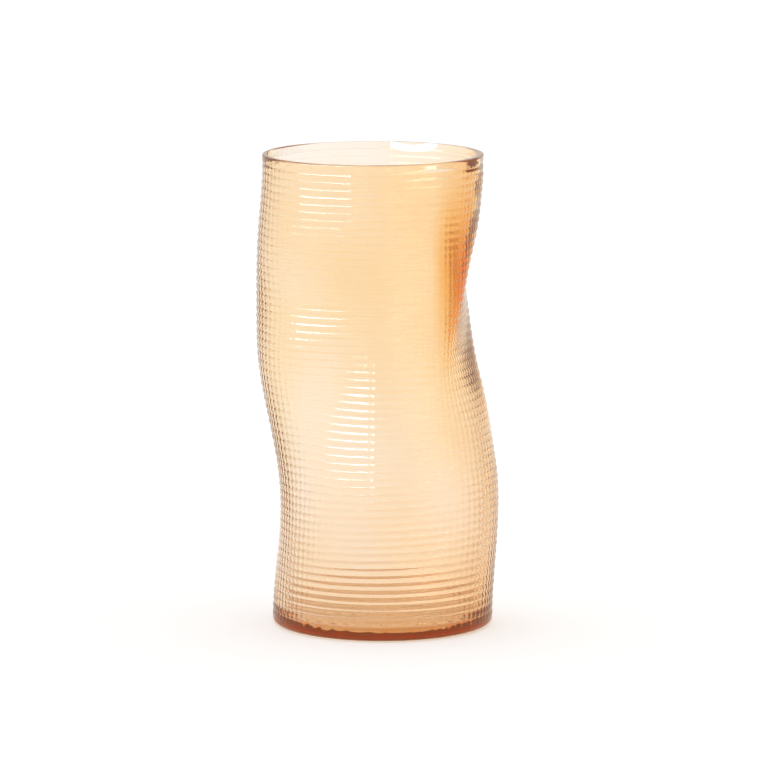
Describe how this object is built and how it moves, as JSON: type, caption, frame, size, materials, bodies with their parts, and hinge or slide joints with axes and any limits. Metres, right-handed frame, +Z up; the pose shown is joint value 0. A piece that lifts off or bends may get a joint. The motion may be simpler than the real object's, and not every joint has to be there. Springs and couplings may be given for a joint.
{
  "type": "art glass vase",
  "caption": "Tall hand blown cylinder vase of amber glass cased in clear, with a fine square waffle relief, bent and dented out of round.",
  "frame": {"origin": "centre of the flat foot, on the surface that the vase stands on", "axes": "+Z up, out of the mouth; -Y the front; +X the vase's right, where its side is flattened"},
  "size_m": [0.154, 0.1465, 0.3],
  "materials": {
    "clear_glass": "mould blown, fire polished, with a pressed relief of small pillows",
    "amber_glass": "smooth and fire polished inside"
  },
  "bodies": {
    "root": {"clear_casing": "clear_glass", "amber_lining": "amber_glass"}
  },
  "joints": []
}
